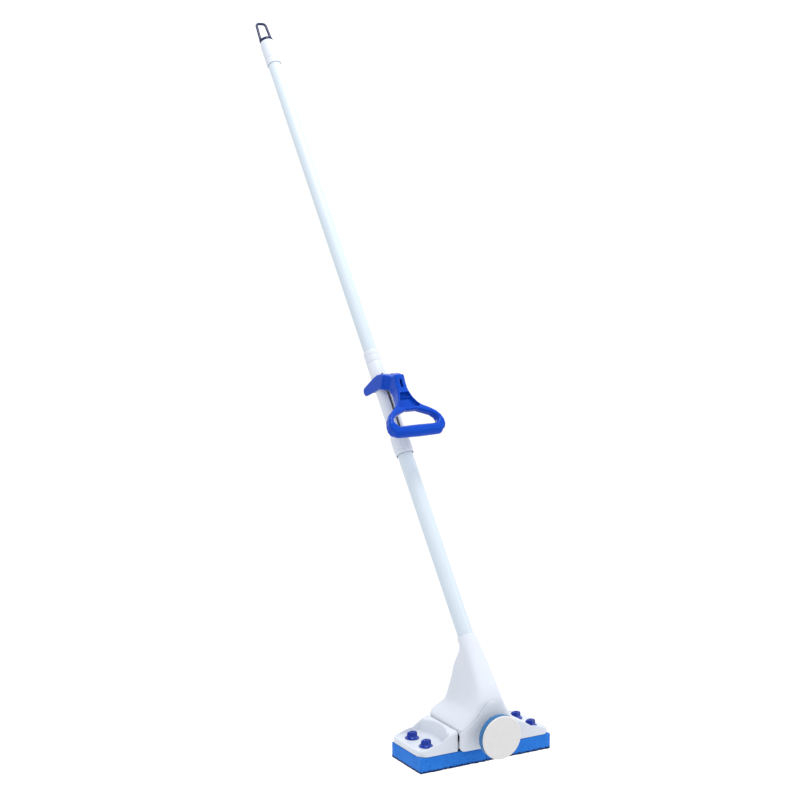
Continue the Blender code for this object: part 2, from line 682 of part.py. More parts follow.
def make_knob(name, x, y, z, hinge):
    """A wing nut: a round flange, a hub and two lobes, with a blind bore from below."""
    hub = turned(
        [
            (0, 0), (10.7, 0), (11.0, 0.8), (10.4, 1.8), (7.6, 2.4),
            (7.0, 3.6), (6.6, 9.8), (5.6, 10.8), (0, 10.8),
        ],
        28,
    )
    lobe = [(9.2, 1.6), (9.6, 7.4), (8.2, 10.2), (5, 11), (-5, 11), (-8.2, 10.2), (-9.6, 7.4), (-9.2, 1.6)]
    lobes = along_y(prism(lobe, -2.1, 2.1))
    bore = rod(STUD_R + 0.4, -1, 9.8, 16)
    knob = combined(hub, [("UNION", lobes), ("DIFFERENCE", bore)])
    made = node(name, knob, "navy_plastic", hinge)
    made.location = Vector((x, y, z)) * MM - hinge.location


def main():
    clear_scene()
    pole = empty("pole_axis", at=(0, POLE_FOOT, 0), turn=-LEAN)
    pivot = empty("lever_axis", parent=pole, at=(0, 0, S_PIVOT))
    make_pole(pole)
    make_lever(pivot)
    make_pull_rod(pole)
    make_crosshead()
    make_housing()
    make_apron()
    make_scrubber()
    make_wings()
    head = empty("head_centre", at=(0, -MIDDLE_Y, 0))
    for thing in bpy.data.objects:
        if thing.parent is None and thing is not head:
            thing.parent = head


main()
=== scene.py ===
"""The looks of a folding sponge mop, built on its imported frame.

Lengths in the shapes below are millimetres. Head pieces are made in head space, measured from the
middle of the sponge's underside; pole pieces in pole space, with Z along the pole, Y to its back
and Z = 672 at the lever's pivot. Two matrices take them to the frame's metres. In the lever's own
outlines n is the distance in front of the pole's axis and h the height over the pivot.
"""

import json
import math

import bmesh
import bpy
import numpy as np
from mathutils import Matrix, Vector


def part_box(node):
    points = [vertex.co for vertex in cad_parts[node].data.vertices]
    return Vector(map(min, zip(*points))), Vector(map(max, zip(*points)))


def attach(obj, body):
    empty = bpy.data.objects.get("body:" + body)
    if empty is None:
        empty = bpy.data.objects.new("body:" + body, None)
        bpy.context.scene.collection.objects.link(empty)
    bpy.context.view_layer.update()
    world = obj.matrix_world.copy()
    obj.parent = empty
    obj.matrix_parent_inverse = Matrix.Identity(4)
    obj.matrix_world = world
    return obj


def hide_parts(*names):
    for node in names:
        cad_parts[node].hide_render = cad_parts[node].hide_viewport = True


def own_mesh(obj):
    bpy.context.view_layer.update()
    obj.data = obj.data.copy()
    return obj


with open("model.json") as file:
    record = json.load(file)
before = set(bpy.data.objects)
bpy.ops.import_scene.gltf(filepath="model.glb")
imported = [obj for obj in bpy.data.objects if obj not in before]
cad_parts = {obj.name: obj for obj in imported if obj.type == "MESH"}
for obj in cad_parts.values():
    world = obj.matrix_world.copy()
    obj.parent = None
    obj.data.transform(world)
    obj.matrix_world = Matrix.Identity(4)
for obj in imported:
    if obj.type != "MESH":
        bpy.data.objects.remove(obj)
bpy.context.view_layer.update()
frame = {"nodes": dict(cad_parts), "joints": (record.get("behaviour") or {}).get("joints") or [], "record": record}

MM = 0.001
S_PIVOT = 672.0
HINGE_X, HINGE_Z = 22.0, 40.0
JOINTS = {j["name"]: j for j in frame["joints"]}
PIVOT = Vector(JOINTS["lever_squeeze"]["pos_m"])
HINGE = Vector(JOINTS["right_wing_fold"]["pos_m"])
POLE_DIRECTION = Vector(JOINTS["rod_pull"]["axis"]).normalized()
LEAN = math.atan2(POLE_DIRECTION.y, POLE_DIRECTION.z)

HEAD = Matrix.Translation((0, HINGE.y, 0)) @ Matrix.Scale(MM, 4)
POLE = (
    Matrix.Translation(PIVOT)
    @ Matrix.Rotation(-LEAN, 4, "X")
    @ Matrix.Scale(MM, 4)
    @ Matrix.Translation((0, 0, -S_PIVOT))
)
MIRROR = Matrix.Scale(-1, 4, (1, 0, 0))
SIDES = (("left", -1), ("right", 1))


def head_box(node):
    """A node's box in head space."""
    low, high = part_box(node)
    into = HEAD.inverted()
    return into @ low, into @ high


# ---------------------------------------------------------------- materials


class Nodes:
    """A material's node tree, with short ways to add and link its nodes."""

    def __init__(self, name):
        self.material = bpy.data.materials.new(name)
        self.material.use_nodes = True
        self.tree = self.material.node_tree
        self.shader = self.tree.nodes["Principled BSDF"]
        self.place = self.add("ShaderNodeTexCoord").outputs["Object"]

    def add(self, kind, **values):
        made = self.tree.nodes.new(kind)
        for key, value in values.items():
            setattr(made, key, value)
        return made

    def link(self, a, b):
        self.tree.links.new(a, b)

    def set(self, **values):
        for key, value in values.items():
            self.shader.inputs[key.replace("_", " ")].default_value = value

    def noise(self, scale, detail=2.0, rough=0.5, stretch=(1, 1, 1)):
        spread = self.add("ShaderNodeMapping")
        spread.inputs["Scale"].default_value = stretch
        self.link(self.place, spread.inputs["Vector"])
        made = self.add("ShaderNodeTexNoise")
        made.inputs["Scale"].default_value = scale
        made.inputs["Detail"].default_value = detail
        made.inputs["Roughness"].default_value = rough
        self.link(spread.outputs["Vector"], made.inputs["Vector"])
        return made.outputs["Fac"]

    def cells(self, scale, feature="F1"):
        made = self.add("ShaderNodeTexVoronoi", feature=feature)
        made.inputs["Scale"].default_value = scale
        self.link(self.place, made.inputs["Vector"])
        return made.outputs["Distance"]

    def ramp(self, source, stops):
        made = self.add("ShaderNodeValToRGB")
        band = made.color_ramp
        while len(band.elements) < len(stops):
            band.elements.new(0.5)
        for element, (position, colour) in zip(band.elements, stops):
            element.position = position
            element.color = (*colour, 1)
        self.link(source, made.inputs["Fac"])
        return made.outputs["Color"]

    def span(self, source, low, high, to_low, to_high):
        made = self.add("ShaderNodeMapRange")
        ends = {"From Min": low, "From Max": high, "To Min": to_low, "To Max": to_high}
        for key, value in ends.items():
            made.inputs[key].default_value = value
        self.link(source, made.inputs["Value"])
        return made.outputs["Result"]

    def mixed(self, factor, a, b, mode="MIX"):
        made = self.add("ShaderNodeMix", data_type="RGBA", blend_type=mode)
        for value, at in ((factor, 0), (a, 6), (b, 7)):
            if isinstance(value, (tuple, float, int)):
                made.inputs[at].default_value = (*value, 1) if isinstance(value, tuple) else value
            else:
                self.link(value, made.inputs[at])
        return made.outputs[2]

    def sum(self, a, b, weight):
        made = self.add("ShaderNodeMath", operation="MULTIPLY_ADD")
        self.link(b, made.inputs[0])
        made.inputs[1].default_value = weight
        self.link(a, made.inputs[2])
        return made.outputs[0]

    def height(self):
        """The height over the sponge's underside, in metres."""
        parts = self.add("ShaderNodeSeparateXYZ")
        self.link(self.place, parts.inputs[0])
        return parts.outputs["Z"]

    def colour(self, source):
        self.link(source, self.shader.inputs["Base Color"])

    def roughness(self, source):
        self.link(source, self.shader.inputs["Roughness"])

    def bump(self, height, depth, strength=1.0):
        made = self.add("ShaderNodeBump")
        made.inputs["Distance"].default_value = depth * MM
        made.inputs["Strength"].default_value = strength
        self.link(height, made.inputs["Height"])
        self.link(made.outputs["Normal"], self.shader.inputs["Normal"])


def shaded(colour, factor):
    return tuple(min(1.0, c * factor) for c in colour)


def moulded(name, colour, gloss, grain, spread, specular):
    """A moulded plastic: a slight flow mottle, a fine satin grain and uneven gloss."""
    t = Nodes(name)
    flow = t.noise(18, 3, 0.55)
    t.colour(t.ramp(flow, [(0.3, shaded(colour, 1 - spread)), (0.7, shaded(colour, 1 + spread))]))
    t.roughness(t.span(t.sum(t.noise(60, 4), t.noise(1400, 1), 0.3), 0.35, 0.95, *gloss))
    t.bump(t.sum(t.noise(2600, 2), t.noise(240, 2), 0.8), grain)
    t.set(Specular_IOR_Level=specular)
    return t.material


def navy_plastic(name):
    """Deep blue moulding, bright on the head's knobs and nearly black on the loop at the top."""
    t = Nodes(name)
    up = t.span(t.height(), 0.5, 0.9, 0.0, 1.0)
    flow = t.noise(40, 3, 0.55)
    knob = t.ramp(flow, [(0.3, (0.001, 0.024, 0.27)), (0.7, (0.002, 0.030, 0.31))])
    loop = t.ramp(flow, [(0.3, (0.001, 0.008, 0.055)), (0.7, (0.002, 0.011, 0.075))])
    t.colour(t.mixed(up, knob, loop))
    t.roughness(t.span(t.noise(300, 4), 0.35, 0.65, 0.12, 0.20))
    t.bump(t.sum(t.noise(2600, 2), t.noise(240, 2), 0.8), 0.03)
    t.set(Specular_IOR_Level=0.3)
    return t.material


def coated(name):
    """Thin white stoved coating on steel tube: orange peel and faint rubs along it."""
    t = Nodes(name)
    rubs = t.noise(30, 5, 0.6, stretch=(14, 1, 1))
    t.colour(t.ramp(rubs, [(0.25, (0.50, 0.57, 0.64)), (0.75, (0.52, 0.59, 0.66))]))
    t.roughness(t.span(t.noise(90, 4), 0.3, 0.7, 0.24, 0.32))
    t.bump(t.sum(t.noise(420, 2), t.noise(90, 2), 0.6), 0.05)
    t.set(Specular_IOR_Level=0.25, Coat_Weight=0.06, Coat_Roughness=0.15)
    return t.material


def sponge_material(name):
    """Open-cell sponge: pores of two sizes with painted shade darkening them, painted shade along a ragged lower
    edge, and a matt surface.
    """
    t = Nodes(name)
    big = t.cells(420)
    small = t.cells(1100)
    fine = t.noise(1900, 3)
    pores = t.sum(t.span(big, 0.0, 0.45, 0.0, 1.0), t.span(small, 0.0, 0.5, 0.0, 1.0), 0.55)
    # Colour darker in the pores: painted shade in the hollows, mixed with a random tone.
    tone_and_pore_shade = t.ramp(
        t.sum(t.span(pores, 0.2, 1.3, 0.0, 0.72), t.noise(45, 4), 0.35),
        [(0.12, (0.002, 0.042, 0.25)), (0.5, (0.006, 0.108, 0.49)), (0.95, (0.020, 0.175, 0.63))],
    )
    # A darker band along the ragged lower edge: painted shade under the sponge.
    ragged = t.sum(t.height(), t.noise(260, 4, 0.7), -0.0078)
    edge = t.span(ragged, -0.0010, 0.0014, 1.0, 0.0)
    t.colour(t.mixed(edge, tone_and_pore_shade, (0.001, 0.010, 0.075)))
    t.bump(t.sum(pores, fine, 0.5), 0.55)
    t.set(Roughness=0.95, Specular_IOR_Level=0.1, Sheen_Weight=0.08, Sheen_Roughness=0.5)
    return t.material


def foam_material(name, dark, light, scale, depth):
    """Closed fine foam: small even pores, their colour darker in the hollows as painted shade."""
    t = Nodes(name)
    pores = t.sum(t.cells(scale), t.noise(scale * 2.2, 3), 0.6)
    # The dark colour falls in the pores' hollows: painted shade.
    t.colour(t.ramp(pores, [(0.25, dark), (0.8, light)]))
    t.bump(pores, depth)
    t.set(Roughness=0.93, Specular_IOR_Level=0.15, Sheen_Weight=0.2, Sheen_Roughness=0.5)
    return t.material


def pad_material(name):
    """White scouring foam: a felted, faintly fibrous face, painted darker in its hollows as painted shade, with a
    faint random mottle.
    """
    t = Nodes(name)
    fibres = t.noise(900, 5, 0.65, stretch=(1, 1, 2.2))
    mottle_and_hollow_shade = t.sum(fibres, t.noise(110, 3), 0.5)
    # Colour darker where the fibres dip: painted shade in the hollows, plus a random mottle.
    t.colour(t.ramp(mottle_and_hollow_shade, [(0.45, (0.55, 0.545, 0.55)), (0.95, (0.615, 0.61, 0.615))]))
    t.bump(t.sum(fibres, t.cells(1500), 0.6), 0.14)
    t.set(Roughness=0.95, Specular_IOR_Level=0.12, Sheen_Weight=0.25, Sheen_Roughness=0.6)
    return t.material


def metal(name, colour, gloss, stretch):
    """Bright plated metal with fine lines along its length."""
    t = Nodes(name)
    lines = t.noise(500, 4, 0.6, stretch=stretch)
    t.colour(t.ramp(lines, [(0.3, shaded(colour, 0.86)), (0.7, shaded(colour, 1.06))]))
    t.roughness(t.span(lines, 0.3, 0.7, *gloss))
    t.bump(lines, 0.03)
    t.set(Metallic=1.0)
    return t.material


def painted_plate(name):
    """Dark paint on sheet, slightly worn."""
    t = Nodes(name)
    wear = t.noise(260, 5, 0.7)
    t.colour(t.ramp(wear, [(0.35, (0.012, 0.018, 0.03)), (0.7, (0.03, 0.038, 0.055))]))
    t.roughness(t.span(wear, 0.3, 0.7, 0.42, 0.6))
    t.bump(t.noise(900, 3), 0.06)
    return t.material


MATERIALS = {
    "white_plastic": moulded(
        "white_plastic", (0.55, 0.59, 0.66),
        gloss=(0.30, 0.42), grain=0.04, spread=0.012, specular=0.35,
    ),
    "coated_tube": coated("coated_tube"),
    "blue_plastic": moulded(
        "blue_plastic", (0.0003, 0.048, 0.41),
        gloss=(0.17, 0.25), grain=0.03, spread=0.05, specular=0.11,
    ),
    "navy_plastic": navy_plastic("navy_plastic"),
    "sponge": sponge_material("sponge"),
    "foam": foam_material("foam", (0.006, 0.07, 0.21), (0.02, 0.135, 0.33), scale=700, depth=0.25),
    "white_pad": pad_material("white_pad"),
    "steel": metal("steel", (0.58, 0.59, 0.61), gloss=(0.22, 0.36), stretch=(1, 1, 12)),
    "dark_plate": painted_plate("dark_plate"),
    "nylon": moulded(
        "nylon", (0.60, 0.60, 0.56),
        gloss=(0.42, 0.55), grain=0.05, spread=0.03, specular=0.4,
    ),
}


# ---------------------------------------------------------------- pieces and meshes


def raw(points, faces, matrix=None):
    """An object made of these points, taken through matrix, with its faces pointing out."""
    points = np.asarray(points, float)
    if matrix is not None:
        m = np.array(matrix)
        points = points @ m[:3, :3].T + m[:3, 3]
    data = bpy.data.meshes.new("raw")
    data.from_pydata(points.tolist(), [], faces)
    made = bpy.data.objects.new("raw", data)
    bpy.context.scene.collection.objects.link(made)
    mesh = bmesh.new()
    mesh.from_mesh(data)
    bmesh.ops.recalc_face_normals(mesh, faces=mesh.faces)
    mesh.to_mesh(data)
    mesh.free()
    return made


def faces_of(made):
    return [tuple(p.vertices) for p in made.data.polygons]


def combined(target, *steps):
    """target after exact Booleans, each (operation, tool); the tools are used up."""
    for operation, tool in steps:
        change = target.modifiers.new(operation.lower(), "BOOLEAN")
        change.operation = operation
        change.solver = "EXACT"
        change.object = tool
    applied(target)
    for _, tool in steps:
        bpy.data.objects.remove(tool)
    return target


def applied(target):
    """target with its modifiers made into its mesh."""
    bpy.context.view_layer.update()
    graph = bpy.context.evaluated_depsgraph_get()
    done = bpy.data.meshes.new_from_object(target.evaluated_get(graph))
    target.modifiers.clear()
    target.data = done
    return target


def piece(made, name, slot, body, *nodes, smooth=40):
    """Names a piece, gives it its finish and tells the frame what it is."""
    made.name = name
    made.data.name = name
    made.data.materials.clear()
    made.data.materials.append(MATERIALS[slot])
    made.data.shade_smooth()
    made.data.set_sharp_from_angle(angle=math.radians(smooth))
    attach(made, body)
    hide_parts(*nodes)
    return made


def arc(centre, radius, start, end, steps):
    """Points on an arc, its angles in degrees."""
    angles = (math.radians(start + (end - start) * i / steps) for i in range(steps + 1))
    return [(centre[0] + radius * math.cos(a), centre[1] + radius * math.sin(a)) for a in angles]


def circle(centre, radius, steps):
    """A full circle as an outline of steps points."""
    return arc(centre, radius, 0, 360 * (steps - 1) / steps, steps - 1)


def rounded_box(x0, y0, x1, y1, radii, steps=6):
    """A rectangle whose corners, from the far right one on, have these radii."""
    a, b, c, d = radii
    return (
        arc((x1 - a, y1 - a), a, 0, 90, steps)
        + arc((x0 + b, y1 - b), b, 90, 180, steps)
        + arc((x0 + c, y0 + c), c, 180, 270, steps)
        + arc((x1 - d, y0 + d), d, 270, 360, steps)
    )


def softened(outline, radius, steps=3):
    """A closed outline with its corners rounded by up to radius."""
    count = len(outline)
    result = []
    for i in range(count):
        before, here, after = (Vector(outline[j % count]) for j in (i - 1, i, i + 1))
        a, b = before - here, after - here
        if a.length < 1e-6 or b.length < 1e-6:
            result.append(tuple(here))
            continue
        reach = min(radius, 0.42 * a.length, 0.42 * b.length)
        start, end = here + a.normalized() * reach, here + b.normalized() * reach
        for k in range(steps + 1):
            t = k / steps
            result.append(tuple((1 - t) ** 2 * start + 2 * t * (1 - t) * here + t * t * end))
    return result


def curve_through(points, steps):
    """Catmull-Rom through rows of numbers, with steps rows from each to the next."""
    rows = np.asarray(points, float)
    padded = np.vstack([2 * rows[0] - rows[1], rows, 2 * rows[-1] - rows[-2]])
    result = []
    for i in range(1, len(padded) - 2):
        a, b, c, d = padded[i - 1 : i + 3]
        for k in range(steps):
            t = k / steps
            square, cube = 2 * a - 5 * b + 4 * c - d, 3 * b - a - 3 * c + d
            result.append(0.5 * (2 * b + (c - a) * t + square * t**2 + cube * t**3))
    result.append(rows[-1])
    return np.array(result)


def loft(rings, matrix=None, closed=False):
    """A skin over rings of equal length; closed joins the last ring to the first."""
    rings = np.asarray(rings, float)
    rows, count = rings.shape[:2]
    faces = []
    for i in range(rows if closed else rows - 1):
        a, b = i * count, (i + 1) % rows * count
        faces += [(a + j, a + (j + 1) % count, b + (j + 1) % count, b + j) for j in range(count)]
    if not closed:
        faces += [tuple(range(count))[::-1], tuple(range((rows - 1) * count, rows * count))]
    return raw(rings.reshape(-1, 3), faces, matrix)


def turned(profile, matrix, soft, segments=96):
    """A closed (radius, height) outline turned about Z, its corners softened."""
    turn = np.linspace(0, 2 * np.pi, segments, endpoint=False)
    c, s = np.cos(turn), np.sin(turn)
    rings = [np.stack([r * c, r * s, np.full(segments, h)], 1) for r, h in softened(profile, soft)]
    return loft(rings, matrix, closed=True)


def pipe(inner, outer, low, high, soft):
    """A tube on the pole's axis."""
    return turned([(inner, low), (outer, low), (outer, high), (inner, high)], POLE, soft)


def prism(outline, low, high, matrix):
    return loft([[(x, y, z) for x, y in outline] for z in (low, high)], matrix)


FRONTWARDS = Matrix(((1, 0, 0, 0), (0, 0, 1, 0), (0, 1, 0, 0), (0, 0, 0, 1)))  # Z goes to Y
ACROSS = Matrix(((0, 0, 1, 0), (1, 0, 0, 0), (0, 1, 0, 0), (0, 0, 0, 1)))  # Z goes to X


# ---------------------------------------------------------------- solids from distance fields


def blend_in(a, b, k):
    """Union of two fields with a fillet."""
    h = np.clip(0.5 + 0.5 * (b - a) / k, 0, 1)
    return b + (a - b) * h - k * h * (1 - h)


def trim(a, b, k):
    """Intersection of two fields with a rounded edge."""
    return -blend_in(-a, -b, k)


def polygon(u, v, outline):
    """Signed distance in a plane to a closed outline, negative inside."""
    best, inside = None, False
    for (ax, ay), (bx, by) in zip(outline, outline[1:] + outline[:1]):
        ex, ey = bx - ax, by - ay
        if ex == 0 and ey == 0:
            continue
        t = np.clip(((u - ax) * ex + (v - ay) * ey) / (ex * ex + ey * ey), 0, 1)
        d = (u - ax - t * ex) ** 2 + (v - ay - t * ey) ** 2
        best = d if best is None else np.minimum(best, d)
        if ey:
            inside = inside ^ (((ay <= v) != (by <= v)) & (u < ax + (v - ay) * ex / ey))
    return np.where(inside, -1, 1) * np.sqrt(best)


def bar(x, y, z, a, b, ra, rb):
    """A round bar from a to b whose radius runs from ra to rb."""
    ex, ey, ez = (q - p for p, q in zip(a, b))
    t = ((x - a[0]) * ex + (y - a[1]) * ey + (z - a[2]) * ez) / (ex * ex + ey * ey + ez * ez)
    t = np.clip(t, 0, 1)
    away = (x - a[0] - t * ex) ** 2 + (y - a[1] - t * ey) ** 2 + (z - a[2] - t * ez) ** 2
    return np.sqrt(away) - (ra + (rb - ra) * t)


def block(x, y, z, low, high, soft):
    """A box with its edges rounded by soft."""
    q = [np.abs(v - (a + b) / 2) - (b - a) / 2 + soft for v, a, b in zip((x, y, z), low, high)]
    outside = np.sqrt(sum(np.maximum(v, 0) ** 2 for v in q))
    inside = np.minimum(np.maximum(np.maximum(q[0], q[1]), q[2]), 0)
    return outside + inside - soft


NOISE_VALUES = 4096


def value_noise(x, y, z, size, seed):
    """Smooth noise from 0 to 1 on a lattice of this size."""
    table = np.random.default_rng(seed).random(NOISE_VALUES)
    total = 0.0
    cells = [np.floor(v / size).astype(np.int64) for v in (x, y, z)]
    parts = [v / size - c for v, c in zip((x, y, z), cells)]
    parts = [p * p * (3 - 2 * p) for p in parts]
    for i in (0, 1):
        for j in (0, 1):
            for k in (0, 1):
                code = (cells[0] + i) * 73 + (cells[1] + j) * 311 + (cells[2] + k) * 1999
                weight = 1.0
                for bit, p in zip((i, j, k), parts):
                    weight = weight * (p if bit else 1 - p)
                total = total + weight * table[code % NOISE_VALUES]
    return total


CUBE = [(i, j, k) for i in (0, 1) for j in (0, 1) for k in (0, 1)]
CUBE_EDGES = [
    (a, b) for a in CUBE for b in CUBE if a < b and sum(abs(p - q) for p, q in zip(a, b)) == 1
]


def zero_level(values):
    """Points, in cells, and quads of a sampled field's zero level (surface nets)."""
    inside = values < 0
    shape = tuple(n - 1 for n in values.shape)
    corners = [inside[i : i + shape[0], j : j + shape[1], k : k + shape[2]] for i, j, k in CUBE]
    filled = sum(corner.astype(np.int8) for corner in corners)
    mixed = (filled > 0) & (filled < 8)
    number = np.full(shape, -1)
    number[mixed] = np.arange(mixed.sum())
    cell = np.argwhere(mixed)
    total, count = np.zeros((len(cell), 3)), np.zeros(len(cell))
    for a, b in CUBE_EDGES:
        fa = values[tuple((cell + a).T)]
        fb = values[tuple((cell + b).T)]
        hit = (fa < 0) != (fb < 0)
        t = np.where(hit, fa / np.where(hit, fa - fb, 1), 0)
        total += hit[:, None] * (np.array(a) + t[:, None] * (np.array(b) - a))
        count += hit
    points = cell + total / count[:, None]
    quads = []
    for axis in range(3):
        one, u, v = (np.eye(3, dtype=int)[(axis + i) % 3] for i in range(3))
        start = tuple(slice(0, n - 1 if one[i] else n) for i, n in enumerate(values.shape))
        stop = tuple(slice(1 if one[i] else 0, n) for i, n in enumerate(values.shape))
        spot = np.argwhere(inside[start] != inside[stop])
        room = np.array(values.shape) - 2
        spot = spot[(spot @ u > 0) & (spot @ v > 0) & (spot <= room).all(1)]
        ring = [number[tuple((spot - s).T)] for s in (u + v, v, 0 * u, u)]
        quad = np.stack(ring, 1)
        flipped = ~inside[tuple(spot.T)]
        quad[flipped] = quad[flipped][:, ::-1]
        quads.append(quad)
    return points, np.vstack(quads)


def from_field(field, low, high, step, matrix, settle=2):
    """The solid where field < 0, as a fine quad mesh settled on the field's zero level."""
    axes = [np.arange(a, b + step, step) for a, b in zip(low, high)]
    grid = [axes[0][:, None, None], axes[1][None, :, None], axes[2][None, None, :]]
    values = np.broadcast_to(field(*grid), tuple(len(a) for a in axes)).astype(float)
    points, quads = zero_level(values)
    points = points * step + np.array(low)
    for _ in range(settle):
        here = field(*points.T)
        rises = [field(*(points + d).T) - field(*(points - d).T) for d in 0.1 * np.eye(3)]
        slope = np.stack([rise / 0.2 for rise in rises], 1)
        steep = np.maximum((slope**2).sum(1), 0.2)
        move = (here / steep)[:, None] * slope
        points = points - np.clip(move, -0.5 * step, 0.5 * step)
    return raw(points, quads.tolist(), matrix)


# ---------------------------------------------------------------- pole


COLLAR_PROFILE = (
    [(13.6, 545), (13.6, 543.4), (14.3, 543.2), (15.0, 546), (15.1, 549.6), (14.7, 550.1)]
    + [(14.7, 550.9), (15.4, 551.4), (15.6, 560), (15.2, 571), (14.7, 576.6), (13.6, 577)]
)
RING_PROFILE = (
    [(11.5, 732.8), (12.3, 733), (12.9, 731), (12.9, 724.6), (12.5, 724.2), (12.5, 723.4)]
    + [(12.9, 723), (12.9, 712.3), (8.0, 712.3), (8.0, 715.6), (11.5, 715.6)]
)
CAP_PROFILE = (
    [(0.2, 1324), (11.5, 1324), (11.5, 1316), (12.4, 1316), (12.9, 1317.5), (12.9, 1327.0)]
    + [(12.5, 1327.5), (12.5, 1328.6), (12.9, 1329.1), (12.9, 1358), (12.6, 1362)]
    + [(11.9, 1365), (11.0, 1366), (0.2, 1366)]
)
SLOT_HALF, SLOT_BOTTOM, SLOT_TOP = 2.6, 578, 686.4
PIVOT_BORE = 3.3


def make_pole():
    lower, upper = pipe(11.5, 12.5, 190, 571.5, 0.3), pipe(10.2, 11.2, 716, 1323, 0.3)
    piece(lower, "lower_pole_tube", "coated_tube", "root", "lower_tube")
    piece(upper, "upper_pole_tube", "coated_tube", "root", "upper_tube")
    for profile, soft, name, node in (
        (COLLAR_PROFILE, 0.6, "bottom_collar", "lower_collar"),
        (RING_PROFILE, 0.4, "reducing_ring", "joint_ring"),
        (CAP_PROFILE, 0.5, "top_cap", "cap_sleeve"),
    ):
        piece(turned(profile, POLE, soft), name, "white_plastic", "root", node)
    make_sleeve()
    make_hang_loop()


def make_sleeve():
    """The slotted sleeve; the slot's corners are round and the bore takes the pivot pins."""
    sleeve = pipe(10.2, 13.2, 572, 712, 0.4)
    outline = rounded_box(-SLOT_HALF, SLOT_BOTTOM, SLOT_HALF, SLOT_TOP, (2.5,) * 4)
    slot = prism(outline, 0, 20, POLE @ Matrix.Rotation(math.pi / 2, 4, "X"))
    bore = prism(circle((0, S_PIVOT), PIVOT_BORE, 24), -20, 20, POLE @ ACROSS)
    combined(sleeve, ("DIFFERENCE", slot), ("DIFFERENCE", bore))
    piece(sleeve, "slotted_sleeve", "white_plastic", "root", "slide_sleeve")


LOOP_PATH = [(10.4, 1368), (9.9, 1384), (9.0, 1398)]
LOOP_PATH += [*arc((3.0, 1400.4), 6.0, 5, 90, 6), (0, 1406.4)]
LOOP_BAR = 2.3


def loop_field(x, y, s):
    """The bent bar of the hanging loop on its flat round base."""
    shape = None
    for (xa, sa), (xb, sb) in zip(LOOP_PATH, LOOP_PATH[1:]):
        part = bar(np.abs(x), y, s, (xa, 0, sa), (xb, 0, sb), LOOP_BAR, LOOP_BAR)
        shape = part if shape is None else np.minimum(shape, part)
    shape = trim(shape, np.abs(y) - 2.2, 0.8)
    base = trim(np.sqrt(x * x + y * y) - 12.0, np.abs(s - 1368.75) - 2.4, 1.4)
    return blend_in(shape, base, 2.4)


def make_hang_loop():
    loop = from_field(loop_field, (-14, -14, 1364), (14, 14, 1411), 0.5, POLE)
    piece(loop, "hanging_loop", "navy_plastic", "root", "hang_loop")


# ---------------------------------------------------------------- squeeze lever

LEVER_SIDE = (
    arc((-27.8, 3.6), 7.8, 75, 255, 14)
    + [(-18, -7.3), (0, -11.5), (10, -14.2), (21.6, -19.8), (28, -25), (31.5, -31)]
    + [(33, -40), (36, -50), (40, -58), (47, -67), (52, -78), (51.5, -94)]
    + arc((60.0, -116.4), 9.9, 180, 360, 24)
    + [(69.5, -104), (68, -92), (64.5, -78), (60.5, -66), (59.5, -54), (59.5, -42), (59, -30)]
    + [(61.5, -19), (61.5, -15.5), (59, -14), (55, -13.2), (48.5, -11)]
    + [(41, -3), (32, 3), (21, 7.5), (8, 9.5), (-6, 10.3)]
)
LEVER_FRONT = (
    [(8.3, -12), (8.5, -30), (10.2, -44), (14, -56), (19, -65), (24, -71)]
    + [(33, -77.5), (42.3, -85.5), (47.6, -94.5), (50, -104)]
    + [(49.6, -112), (46.5, -118), (40, -123), (32, -125.4), (15, -127.5)]
)
LEVER_FRONT += [(-x, h) for x, h in reversed(LEVER_FRONT)]
GRIP_OPENING = [(10, -80), (20, -84), (32, -89), (38.5, -95), (40, -100), (38, -104), (33, -110)]
GRIP_OPENING += [(-x, h) for x, h in reversed(GRIP_OPENING)]
CHANNEL_WIDTH = ((-75, -70, -64, -55, -44), (17, 19, 15, 10.2, 6.8))
CHEEK, CHEEK_SLANT = 17.0, 0.36
NECK_SIDE = ((44, 52, 68), (9.8, 9.5, 8.0))
CHEEK_RECESS = [(37, -7), (46, -13), (51, -22), (51, -33), (45, -36), (38, -30), (27, -18)]
CREASE_SLOPE, CREASE_N, CREASE_H = 1.325, 22.4, -17.5
POLE_ROOM = 14.3
SWEEP = 90
CRANK_N, CRANK_H, CRANK_BORE = 20.49, -16.01, 1.8
BORE_END = 16.0


def pole_room():
    """Outline, seen from the side, of the space the sleeve needs while the lever turns."""
    turn = math.radians(60)
    c, s = math.cos(turn), math.sin(turn)
    up = [(-POLE_ROOM, SWEEP), *arc((0, 0), SWEEP, 90, 30, 6)]
    up.append((SWEEP * s + POLE_ROOM * c, SWEEP * c - POLE_ROOM * s))
    up.append((POLE_ROOM, -POLE_ROOM * math.tan(turn / 2)))
    return up + [(-x, -y) for x, y in up]


